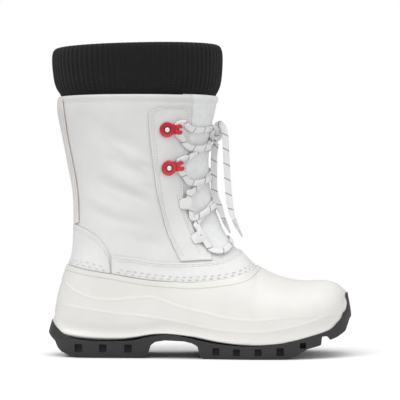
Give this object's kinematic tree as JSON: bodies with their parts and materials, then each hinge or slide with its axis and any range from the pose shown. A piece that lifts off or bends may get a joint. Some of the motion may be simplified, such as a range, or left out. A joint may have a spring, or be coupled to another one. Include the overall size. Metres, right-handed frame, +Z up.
{
  "type": "winter boot",
  "caption": "Tall lace-up winter boot with a moulded rubber shell, lugged sole, white shaft with red lace hooks and a black rib-knit cuff.",
  "frame": {"origin": "on the floor under the middle of the boot's box", "axes": "+X towards the toe, +Y towards the inner side of the foot, +Z up"},
  "size_m": [0.2891, 0.1142, 0.296],
  "materials": {
    "rubber_sole": "matt moulded rubber with a fine grain",
    "rubber_shell": "smooth warm white moulded rubber with a soft sheen",
    "nylon": "white coated woven nylon with a satin sheen and soft creases",
    "leather": "white coated leather with a fine grain",
    "tongue": "white padded woven cloth",
    "lining": "dark felt",
    "knit": "black rib knit",
    "hook": "red anodised lace hook with a satin gloss",
    "rivet": "off-white domed rivet",
    "webbing": "white woven webbing",
    "lace": "white flat woven lace with dark flecks"
  },
  "bodies": {
    "root": {"outsole": "rubber_sole", "shell": "rubber_shell", "upper": "nylon", "tongue": "tongue", "insole": "lining", "cuff": "knit", "leather_band": "leather", "heel_counter": "leather", "backstay": "leather", "eyestay_outer": "leather", "eyestay_inner": "leather", "hook_outer_top": "hook", "hook_outer_low": "hook", "hook_inner_top": "hook", "hook_inner_low": "hook", "rivet_outer_top": "rivet", "rivet_outer_low": "rivet", "rivet_inner_top": "rivet", "rivet_inner_low": "rivet", "loop_outer_upper": "webbing", "loop_outer_lower": "webbing", "loop_inner_upper": "webbing", "loop_inner_lower": "webbing", "lace_crossing_top": "lace", "lace_crossing_mid": "lace", "lace_crossing_low": "lace", "lace_bar_top": "lace", "lace_bar_low": "lace", "lace_knot": "lace", "lace_end_outer": "lace", "lace_end_inner": "lace"}
  },
  "joints": []
}
